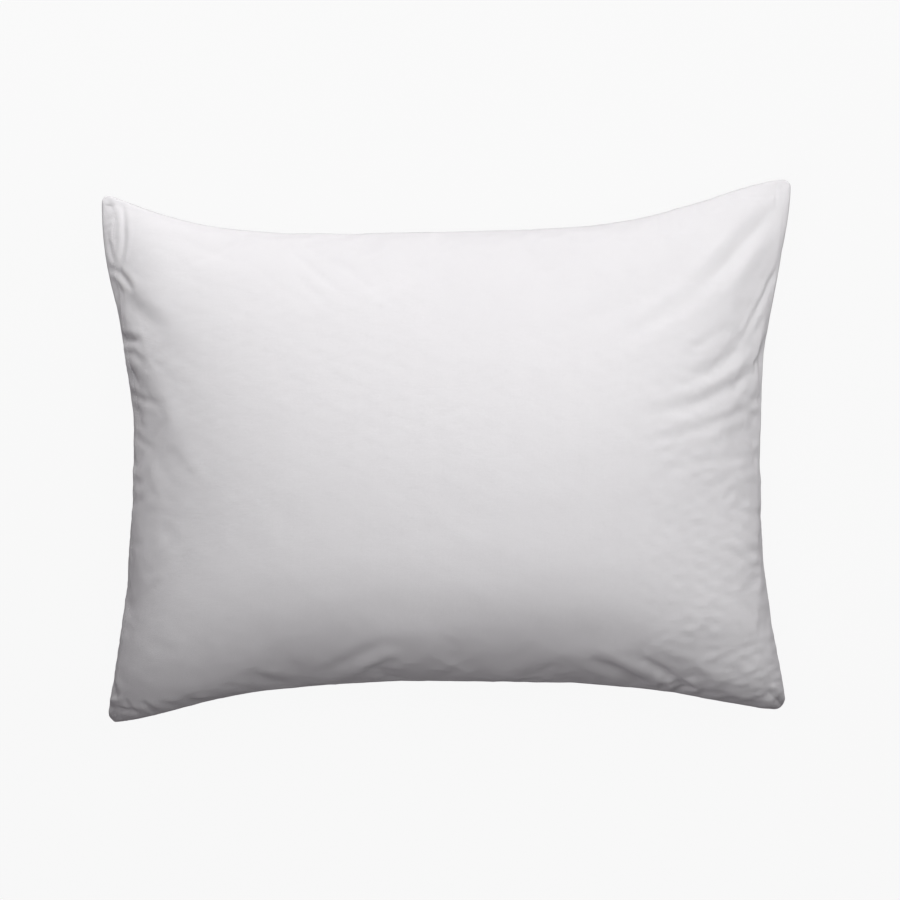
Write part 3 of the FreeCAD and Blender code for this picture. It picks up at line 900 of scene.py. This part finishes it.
def fibre(name, light, shade):
    """Lofty fibre filling."""
    n = slot_nodes(name)
    place = n.add("TexCoord", {}).outputs["Object"]
    clumps = n.noise(place, 24.0, 4.0, 0.6, 0.8)
    strands = n.noise(n.scaled(place, 1.0, 3.0), 420.0, 4.0, 0.65, 1.5)
    colour = n.blend(n.math("MULTIPLY", n.math("ADD", clumps, strands), 0.5), light, shade)
    normal = n.bump(strands, 0.0012, 0.8, n.bump(clumps, 0.004))
    return n.finish(colour, n.between(strands, 0.8, 1.0), normal, 0.4)


case_cotton = woven("case_cotton", (0.815, 0.804, 0.814, 1), (0.775, 0.762, 0.776, 1), 0.00028, 0.35, 0.0)
case_thread = spun("case_thread", (0.80, 0.79, 0.80, 1), (0.70, 0.69, 0.705, 1))
ticking_cotton = woven("ticking_cotton", (0.83, 0.81, 0.765, 1), (0.77, 0.745, 0.69, 1), 0.00036, 0.5, 0.12)
ticking_thread = spun("ticking_thread", (0.84, 0.82, 0.77, 1), (0.70, 0.68, 0.63, 1))
label_tape = satin("label_tape", (0.88, 0.88, 0.87, 1), (0.80, 0.80, 0.80, 1))
filling = fibre("filling", (0.90, 0.90, 0.89, 1), (0.80, 0.80, 0.79, 1))

# === Pieces ===


def fit(piece, body, material, *nodes):
    """Gives a piece its finish and its body, and a pillowcase piece its own copy of its mesh."""
    piece.data.materials.append(material)
    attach(piece, body)
    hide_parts(*nodes)
    if body == "pillowcase":
        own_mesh(piece)
    return piece


def case(piece, *nodes, material=case_cotton):
    return fit(piece, "pillowcase", material, *nodes)


def insert(piece, *nodes, material=ticking_cotton):
    return fit(piece, "insert", material, *nodes)


def middle_layer(upper, lower):
    """The level halfway between two layers, where their seam allowances lie."""
    return Layer(upper.u_lines, upper.v_lines, (upper.points + lower.points) / 2, 1)


def seam_pieces(prefix, fitter, layer, width):
    """Each side's seam allowance, as a narrow folded strip inside the seam."""
    for side in SEWN:
        across = in_from(side, 0.0011, width, 5)
        along = np.linspace(-0.955, 0.955, 150)
        lines = (across, along) if side == "end" else (along, across)
        strip = patch(f"{prefix}_{side}_allowance", layer, *lines, -0.0004, 0.0008)
        fitter(strip, f"{prefix}_{side}")


def side_line(side, inset, share=0.955):
    """The two ends of a line along a side, in metres on the flat cloth."""
    half_x, half_y = FLAT[0] / 2, FLAT[1] / 2
    if side in ("mouth", "end"):
        x = (inset - half_x) if side == "mouth" else (half_x - inset)
        return (x, -half_y * share), (x, half_y * share)
    y = (inset - half_y) if side == "foot" else (half_y - inset)
    return (-half_x * share, y), (half_x * share, y)


front, back = case_layer(True), case_layer(False)
between_layers = middle_layer(front, back)
case_front = case(whole("case_front", front, FLAT), "case_front_panel")
case_back = case(whole("case_back", back, FLAT), "case_back_panel")

hem_lines = in_from("mouth", 0.0, HEM, 14)
hem_rows = front.v_lines[(front.v_lines > -0.94) & (front.v_lines < 0.94)]
front_hem = case(patch("case_hem_front", front, hem_lines, hem_rows, CLOTH + 0.0001), "case_front_hem")
back_hem = case(patch("case_hem_back", back, hem_lines, hem_rows, CLOTH + 0.0001), "case_back_hem")


def flap_layer_under(depth):
    """The tuck-in flap: it turns in between the mouth's edges and lies under the front."""
    u_lines = in_from("mouth", 0.0003, FLAP, 60)
    v_lines = np.linspace(-FLAP_SHARE, FLAP_SHARE, 150)
    u, v = np.meshgrid(u_lines, v_lines)
    mouth, _ = from_sides(u, v)
    turned = smooth(mouth, 0.0, 0.022)[..., None]
    points = between_layers.at(u, v) * (1 - turned) + front.at(u, v, depth) * turned
    return Layer(u_lines, v_lines, points, 1)


flap_layer = flap_layer_under(0.0018)
flap = case(whole("case_flap_tuck_in", flap_layer, FLAT), "case_flap")
flap_hem_lines = in_from("mouth", FLAP - FLAP_HEM, FLAP, 8)
flap_hem = patch("case_flap_inner_hem", flap_layer, flap_hem_lines, flap_layer.v_lines, CLOTH + 0.0001)
flap_hem = case(flap_hem, "case_flap_hem")

seam_pieces("case_seam", case, between_layers, ALLOWANCE)
for label, layer in (("front", front), ("back", back)):
    rows = list(stitch_row(layer, *side_line("mouth", HEM_STITCHES, 0.925), rise=0.00014))
    row = threads(f"case_{label}_hem_stitches", rows, THREAD * 1.3)
    case(row, f"case_{label}_hem_stitch", material=case_thread)
rows = list(stitch_row(flap_layer, *side_line("mouth", FLAP - FLAP_HEM + 0.0015, 0.9)))
row = threads("case_flap_hem_stitches", rows, THREAD * 1.6)
case(row, "case_flap_hem_stitch", material=case_thread)

for side, sign in (("head", 1), ("foot", -1)):
    at_y = sign * (FLAT[1] / 2 - BARTACK[2])
    tack_ends = [(inset - FLAT[0] / 2, at_y) for inset in BARTACK[:2]]
    tack = zigzag(front, *tack_ends, width=0.002, pitch=0.0006, rise=0.00003)
    tack = threads(f"case_bartack_{side}_thread", [tack], 0.7 * THREAD)
    case(tack, f"case_bartack_{side}", material=case_thread)
lifted = Layer(front.u_lines, front.v_lines, between_layers.points + (0, 0, 0.0004), 1)
for side in SEWN:
    rows = list(stitch_row(lifted, *side_line(side, 0.0024)))
    row = threads(f"case_{side}_seam_stitches", rows, THREAD * 1.6)
    case(row, f"case_thread_{side}", material=case_thread)
    loops = overlock(between_layers, side)
    case(threads(f"case_{side}_overlock", [loops], THREAD, 5), f"case_overlock_{side}", material=case_thread)


def label_piece(name, layer, across, depths, end_at, flat):
    """A blank tape folded double and caught in the seam at the closed end, lying along the cloth."""
    length, width = TAPE
    share = np.linspace(0, 1, 41)
    inset = end_at + length * (1 - np.abs(2 * share - 1))
    depth = depths[0] + (depths[1] - depths[0]) * smooth(share, 0.42, 0.58)
    beside = np.linspace(-0.5, 0.5, 19) * width
    s, b = np.meshgrid(inset, beside)
    d = np.broadcast_to(depth, s.shape) + 0.00025 * np.sin(b / width * 7 + s / length * 3)
    u, v = 1 - 2 * s / flat[0], (across + b) / (flat[1] / 2)
    points = layer.at(u, v, d)
    flat_uv = np.stack([np.broadcast_to(share * 2 * length, s.shape), b], axis=-1)
    return shell(name, points, flat_uv, 0.00022, 1 if depths[1] > depths[0] else -1)


case_tag = label_piece("case_label_tape", back, -0.150, (0.0022, 0.0034), 0.002, FLAT)
case(case_tag, "case_label", material=label_tape)

upper, lower = ticking_layer(True), ticking_layer(False)
ticking_middle = middle_layer(upper, lower)
ticking_upper = insert(whole("ticking_upper_cloth", upper, TICKING_FLAT), "ticking_upper")
ticking_lower = insert(whole("ticking_lower_cloth", lower, TICKING_FLAT), "ticking_lower")
seam_pieces("ticking_seam", insert, ticking_middle, 0.008)


def lip_layer(layer, reach):
    """The closing edge: both sides of the ticking folded in and sewn together, standing out as a lip."""
    v_lines = np.linspace(-0.93, 0.93, 150)
    out = np.linspace(-reach, 0.002, 9)
    edge, _ = layer.read(np.full_like(v_lines, -1.0), v_lines)
    inner, _ = layer.read(np.full_like(v_lines, -0.985), v_lines)
    away = unit((edge - inner) * (1, 1, 0))
    points = edge[:, None] - away[:, None] * out[None, :, None]
    wavy = 0.0006 * lumps(v_lines * 0.24, 0 * v_lines, 17, 0.03)
    points[..., 2] += wavy[:, None] * np.clip(-out / reach, 0, 1)
    return Layer(out / (TICKING_FLAT[0] / 2), v_lines, points, 1)


lip = lip_layer(ticking_middle, 0.005)
lip_top = Layer(lip.u_lines, lip.v_lines, lip.points + (0, 0, LIP / 2), 1)
lip_under = Layer(lip.u_lines, lip.v_lines, lip_top.points - (0, 0, LIP), -1)
lip_places = flat_places(lip.u_lines, lip.v_lines, TICKING_FLAT)
fold = shell("ticking_closing_lip", lip_top.points, lip_places, LIP, 1)
insert(fold, "ticking_closing_fold")
at_y = TICKING_FLAT[1] / 2 * 0.92
rows = []
for layer in (lip_top, lip_under):
    rows += stitch_row(layer, (-0.0028, -at_y), (-0.0028, at_y), flat=TICKING_FLAT)
insert(threads("ticking_closing_stitches", rows, 0.0005), "ticking_closing_stitch", material=ticking_thread)

tag = label_piece("ticking_label_tape", lower, 0.142, (-0.0006, -0.0016), 0.001, TICKING_FLAT)
insert(tag, "ticking_label", material=label_tape)


def filling_piece():
    """The filling: a lumpy mass that backs the ticking all over."""
    u_lines, v_lines = cloth_lines(110, ()), cloth_lines(90, ())
    u, v = np.meshgrid(u_lines, v_lines)
    sides = []
    for layer in (upper, lower):
        points, normals = layer.read(u, v)
        middle = ticking_middle.at(u, v)
        points = (points - middle) * 0.985 + middle
        points = points * (0.975, 0.968, 1.0)
        lump = 0.0011 + 0.0008 * lumps(u * 0.32, v * 0.24, 41, 0.03)
        sides.append(points - normals * np.clip(lump, 0.0003, 0.003)[..., None])
    return closed_mesh("insert_filling", *sides, flat_places(u_lines, v_lines, TICKING_FLAT))


fill = insert(filling_piece(), "fill", material=filling)

# === Stage: floor, lights and camera ===


# Soft boxes: (place, side of the square, power in W), all turned to the pillow's middle
LAMPS = (
    ((0.0, 0.0, 0.9), 0.4, 2.5),
    ((0.5, 0.8, 0.4), 0.5, 2.1),
    ((0.8, 0.3, 0.9), 0.6, 4.0),
    ((-0.5, 0.8, 0.4), 0.5, 3.85),
    ((0.0, 0.8, 0.3), 0.5, 0.12),
    ((0.0, 0.45, 0.7), 0.4, 0.23),
)
# The share of their power that the boxes over the pulled-out insert have
FAR_SHARE = 0.65
# The studio's fill, as broad glows round the horizon: (azimuth from +X, elevation, strength)
GLOWS = ((225, 12, 0.58), (270, 12, 0.07), (0, -12, 0.40), (90, -8, 0.75))
GLOW_TIGHTNESS = 7.0


# The floor, as a shallow round bowl whose far side rises behind the pillow: (distance, height)
BOWL = ((0.6, 0.0), (1.5, 0.0), (4.0, 0.0), (6.0, 0.25), (7.5, 1.1), (8.6, 2.9), (9.2, 6.0), (9.4, 12.0))


def soft_box(name, place, target, size, power):
    data = bpy.data.lights.new(name, "AREA")
    data.size = size
    data.energy = power
    lamp = bpy.data.objects.new(name, data)
    bpy.context.scene.collection.objects.link(lamp)
    lamp.location = place
    lamp.rotation_euler = (Vector(target) - Vector(place)).to_track_quat("-Z", "Y").to_euler()
    lamp.visible_camera = False
    return lamp


def make_lamps():
    """The soft boxes, and dimmer ones over the place where the insert lies once it is pulled out."""
    travel = max(frame["joints"][0]["range_m"])
    only_insert = bpy.data.collections.new("lit_when_out")
    for piece in bpy.context.scene.collection.objects:
        if piece.type == "MESH" and body_of(piece) == ["insert"]:
            only_insert.objects.link(piece)
    for number, (place, size, power) in enumerate(LAMPS):
        soft_box(f"soft_box_{number}", place, (0, 0, 0.08), size, power)
        beside = (place[0] - travel, place[1], place[2])
        second = soft_box(f"far_soft_box_{number}", beside, (-travel, 0, 0.08), size, FAR_SHARE * power)
        second.light_linking.receiver_collection = only_insert


def make_floor():
    angles = np.linspace(0, 2 * math.pi, 96, endpoint=False)
    count = len(angles)
    rings = [(0.0, 0.0, 0.0)]
    rings += [(far * math.cos(a), far * math.sin(a), up) for far, up in BOWL for a in angles]
    faces = [(0, 1 + k, 1 + (k + 1) % count) for k in range(count)]
    index = 1 + np.arange(len(BOWL) * count).reshape(len(BOWL), count)
    faces += grid_faces(np.concatenate([index, index[:, :1]], axis=1))[:, ::-1].tolist()
    mesh = bpy.data.meshes.new("floor")
    mesh.from_pydata(rings, [], faces)
    mesh.polygons.foreach_set("use_smooth", np.ones(len(faces), bool))
    floor = placed("floor", mesh)
    floor.location.z = cad_low.z - 0.0003
    floor.visible_diffuse = False
    floor.visible_glossy = False
    floor.visible_shadow = False
    n = Nodes(bpy.data.materials.new("pale_floor"))
    # The floor's glow is dimmed by ambient occlusion close to the pillow: a painted contact shadow.
    painted_shadow = n.add("AmbientOcclusion", {"Distance": 0.016})
    sockets = n.shader.inputs
    sockets["Base Color"].default_value = (0.01, 0.01, 0.01, 1)
    sockets["Roughness"].default_value = 1.0
    sockets["Emission Color"].default_value = (1, 1, 1, 1)
    n.tree.links.new(n.between(painted_shadow.outputs["AO"], 0.45, 0.928), sockets["Emission Strength"])
    floor.data.materials.append(n.owner)


def make_world():
    """The studio's dim, soft fill."""
    world = bpy.data.worlds.new("studio")
    bpy.context.scene.world = world
    n = Nodes(world, "Background")
    place = n.add("TexCoord", {}).outputs["Generated"]
    total = 0.02
    for azimuth, elevation, strength in GLOWS:
        azimuth, elevation = math.radians(azimuth), math.radians(elevation)
        level = math.cos(elevation)
        towards = (level * math.cos(azimuth), level * math.sin(azimuth), math.sin(elevation))
        facing = n.add("VectorMath", {0: place, 1: towards}, operation="DOT_PRODUCT").outputs["Value"]
        falling = n.math("MULTIPLY_ADD", facing, GLOW_TIGHTNESS, -GLOW_TIGHTNESS)
        total = n.math("MULTIPLY_ADD", n.math("EXPONENT", falling), strength, total)
    n.tree.links.new(total, n.shader.inputs["Strength"])
    n.shader.inputs["Color"].default_value = (1, 0.95, 1, 1)


def make_camera():
    """The photograph's view: straight down, with 0.865 m of the seam's level across the picture."""
    data = bpy.data.cameras.new("camera")
    data.lens = 100
    data.sensor_width = 36
    camera = bpy.data.objects.new("camera", data)
    bpy.context.scene.collection.objects.link(camera)
    width_seen = 0.865
    camera.location = (0.003, 0.002, SEAM_LEVEL + width_seen * data.lens / data.sensor_width)
    bpy.context.scene.camera = camera


make_floor()
make_lamps()
make_world()
make_camera()
bpy.context.scene.view_settings.view_transform = "Standard"
